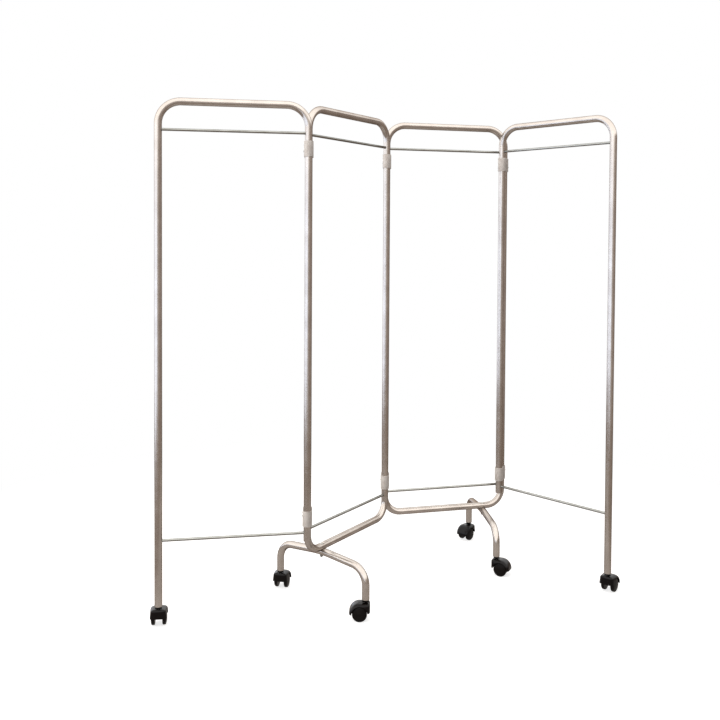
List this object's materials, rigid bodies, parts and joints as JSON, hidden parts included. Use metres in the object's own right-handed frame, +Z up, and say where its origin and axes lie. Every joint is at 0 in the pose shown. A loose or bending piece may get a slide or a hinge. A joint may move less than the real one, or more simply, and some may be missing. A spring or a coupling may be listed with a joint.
{
  "type": "folding ward screen",
  "caption": "Folding privacy screen: tube leaves in a zigzag on double-sleeve hinges, with curtain rods, arched feet and twin-wheel swivel casters.",
  "frame": {"origin": "middle of the whole screen's box, on the floor", "axes": "+X from the first outer leg to the last one, +Z up, +Y to the rear, away from the side in the picture"},
  "size_m": [1.6494, 0.7434, 1.71],
  "materials": {
    "silver_paint": "satin silver-grey paint on steel tube",
    "bright_chrome": "bright plated steel rod",
    "grey_plastic": "moulded warm grey plastic, faint sheen",
    "black_tread": "black moulded wheel",
    "black_nylon": "glossy black nylon hood",
    "zinc_steel": "zinc-plated steel",
    "dark_plastic": "black plastic tube insert"
  },
  "bodies": {
    "leaf_a": {"leaf_a_bottom_rod": "bright_chrome", "leaf_a_frame": "silver_paint", "leaf_a_top_rod": "bright_chrome", "caster_a_insert": "dark_plastic"},
    "leaf_b": {"leaf_b_bottom_rod": "bright_chrome", "leaf_b_foot_arch": "silver_paint", "leaf_b_foot_bolt": "zinc_steel", "leaf_b_lower_frame": "silver_paint", "leaf_b_top_rod": "bright_chrome", "leaf_b_upper_frame": "silver_paint", "caster_b_front_insert": "dark_plastic", "caster_b_rear_insert": "dark_plastic"},
    "leaf_c": {"leaf_c_bottom_rod": "bright_chrome", "leaf_c_foot_arch": "silver_paint", "leaf_c_foot_bolt": "zinc_steel", "leaf_c_lower_frame": "silver_paint", "leaf_c_top_rod": "bright_chrome", "leaf_c_upper_frame": "silver_paint", "caster_c_front_insert": "dark_plastic", "caster_c_rear_insert": "dark_plastic"},
    "leaf_d": {"leaf_d_bottom_rod": "bright_chrome", "leaf_d_frame": "silver_paint", "leaf_d_top_rod": "bright_chrome", "caster_d_insert": "dark_plastic"},
    "link_ab": {"hinge_ab_top_sleeve": "grey_plastic", "hinge_ab_bottom_sleeve": "grey_plastic"},
    "link_bc": {"hinge_bc_top_sleeve": "grey_plastic", "hinge_bc_bottom_sleeve": "grey_plastic"},
    "link_cd": {"hinge_cd_top_sleeve": "grey_plastic", "hinge_cd_bottom_sleeve": "grey_plastic"},
    "caster_a": {"caster_a_housing": "black_nylon", "caster_a_stem": "zinc_steel", "caster_a_axle": "zinc_steel"},
    "caster_a_left": {"caster_a_left_wheel": "black_tread"},
    "caster_a_right": {"caster_a_right_wheel": "black_tread"},
    "caster_b_front": {"caster_b_front_housing": "black_nylon", "caster_b_front_stem": "zinc_steel", "caster_b_front_axle": "zinc_steel"},
    "caster_b_front_left": {"caster_b_front_left_wheel": "black_tread"},
    "caster_b_front_right": {"caster_b_front_right_wheel": "black_tread"},
    "caster_b_rear": {"caster_b_rear_housing": "black_nylon", "caster_b_rear_stem": "zinc_steel", "caster_b_rear_axle": "zinc_steel"},
    "caster_b_rear_left": {"caster_b_rear_left_wheel": "black_tread"},
    "caster_b_rear_right": {"caster_b_rear_right_wheel": "black_tread"},
    "caster_c_front": {"caster_c_front_housing": "black_nylon", "caster_c_front_stem": "zinc_steel", "caster_c_front_axle": "zinc_steel"},
    "caster_c_front_left": {"caster_c_front_left_wheel": "black_tread"},
    "caster_c_front_right": {"caster_c_front_right_wheel": "black_tread"},
    "caster_c_rear": {"caster_c_rear_housing": "black_nylon", "caster_c_rear_stem": "zinc_steel", "caster_c_rear_axle": "zinc_steel"},
    "caster_c_rear_left": {"caster_c_rear_left_wheel": "black_tread"},
    "caster_c_rear_right": {"caster_c_rear_right_wheel": "black_tread"},
    "caster_d": {"caster_d_housing": "black_nylon", "caster_d_stem": "zinc_steel", "caster_d_axle": "zinc_steel"},
    "caster_d_left": {"caster_d_left_wheel": "black_tread"},
    "caster_d_right": {"caster_d_right_wheel": "black_tread"}
  },
  "joints": [
    {"name": "fold_ab_inner", "type": "hinge", "parent": "leaf_b", "child": "link_ab", "pos_m": [-0.30948, -0.24844, 0.943], "axis": [0, 0, -1], "range_deg": [-80, 90]},
    {"name": "fold_ab_outer", "type": "hinge", "parent": "link_ab", "child": "leaf_a", "pos_m": [-0.31435, -0.2831, 0.943], "axis": [0, 0, -1], "range_deg": [-66, 40]},
    {"name": "fold_bc_inner", "type": "hinge", "parent": "leaf_b", "child": "link_bc", "pos_m": [0.03205, 0.09309, 0.943], "axis": [0, 0, -1], "range_deg": [-80, 38]},
    {"name": "fold_bc_outer", "type": "hinge", "parent": "link_bc", "child": "leaf_c", "pos_m": [0.04052, 0.12705, 0.943], "axis": [0, 0, -1], "range_deg": [-70, 30]},
    {"name": "fold_cd_inner", "type": "hinge", "parent": "leaf_c", "child": "link_cd", "pos_m": [0.52285, 0.15233, 0.943], "axis": [0, 0, 1], "range_deg": [-3, 200]},
    {"name": "fold_cd_outer", "type": "hinge", "parent": "link_cd", "child": "leaf_d", "pos_m": [0.50303, 0.12348, 0.943], "axis": [0, 0, 1], "range_deg": [-80, 22]},
    {"name": "swivel_a", "type": "hinge", "parent": "leaf_a", "child": "caster_a", "pos_m": [-0.79728, -0.27467, 0.0684], "axis": [0, 0, 1], "continuous": true},
    {"name": "roll_a_left", "type": "hinge", "parent": "caster_a", "child": "caster_a_left", "pos_m": [-0.79623, -0.2547, 0.025], "axis": [-0.9986, 0.0523, 0], "continuous": true},
    {"name": "roll_a_right", "type": "hinge", "parent": "caster_a", "child": "caster_a_right", "pos_m": [-0.79623, -0.2547, 0.025], "axis": [-0.9986, 0.0523, 0], "continuous": true},
    {"name": "swivel_b_front", "type": "hinge", "parent": "leaf_b", "child": "caster_b_front", "pos_m": [-0.12649, -0.34361, 0.0684], "axis": [0, 0, 1], "continuous": true},
    {"name": "roll_b_front_left", "type": "hinge", "parent": "caster_b_front", "child": "caster_b_front_left", "pos_m": [-0.14605, -0.33945, 0.025], "axis": [-0.2079, -0.9781, 0], "continuous": true},
    {"name": "roll_b_front_right", "type": "hinge", "parent": "caster_b_front", "child": "caster_b_front_right", "pos_m": [-0.14605, -0.33945, 0.025], "axis": [-0.2079, -0.9781, 0], "continuous": true},
    {"name": "swivel_b_rear", "type": "hinge", "parent": "leaf_b", "child": "caster_b_rear", "pos_m": [-0.37934, -0.04014, 0.0684], "axis": [0, 0, 1], "continuous": true},
    {"name": "roll_b_rear_left", "type": "hinge", "parent": "caster_b_rear", "child": "caster_b_rear_left", "pos_m": [-0.37184, -0.02159, 0.025], "axis": [-0.9272, 0.3746, 0], "continuous": true},
    {"name": "roll_b_rear_right", "type": "hinge", "parent": "caster_b_rear", "child": "caster_b_rear_right", "pos_m": [-0.37184, -0.02159, 0.025], "axis": [-0.9272, 0.3746, 0], "continuous": true},
    {"name": "swivel_c_front", "type": "hinge", "parent": "leaf_c", "child": "caster_c_front", "pos_m": [0.43332, -0.04912, 0.0684], "axis": [0, 0, 1], "continuous": true},
    {"name": "roll_c_front_left", "type": "hinge", "parent": "caster_c_front", "child": "caster_c_front_left", "pos_m": [0.44935, -0.06107, 0.025], "axis": [0.5976, 0.8018, 0], "continuous": true},
    {"name": "roll_c_front_right", "type": "hinge", "parent": "caster_c_front", "child": "caster_c_front_right", "pos_m": [0.44935, -0.06107, 0.025], "axis": [0.5976, 0.8018, 0], "continuous": true},
    {"name": "swivel_c_rear", "type": "hinge", "parent": "leaf_c", "child": "caster_c_rear", "pos_m": [0.45261, 0.34541, 0.0684], "axis": [0, 0, 1], "continuous": true},
    {"name": "roll_c_rear_left", "type": "hinge", "parent": "caster_c_rear", "child": "caster_c_rear_left", "pos_m": [0.43685, 0.33309, 0.025], "axis": [0.6157, -0.788, 0], "continuous": true},
    {"name": "roll_c_rear_right", "type": "hinge", "parent": "caster_c_rear", "child": "caster_c_rear_right", "pos_m": [0.43685, 0.33309, 0.025], "axis": [0.6157, -0.788, 0], "continuous": true},
    {"name": "swivel_d", "type": "hinge", "parent": "leaf_d", "child": "caster_d", "pos_m": [0.76962, -0.27928, 0.0684], "axis": [0, 0, 1], "continuous": true},
    {"name": "roll_d_left", "type": "hinge", "parent": "caster_d", "child": "caster_d_left", "pos_m": [0.78494, -0.26643, 0.025], "axis": [-0.6428, 0.766, 0], "continuous": true},
    {"name": "roll_d_right", "type": "hinge", "parent": "caster_d", "child": "caster_d_right", "pos_m": [0.78494, -0.26643, 0.025], "axis": [-0.6428, 0.766, 0], "continuous": true}
  ]
}
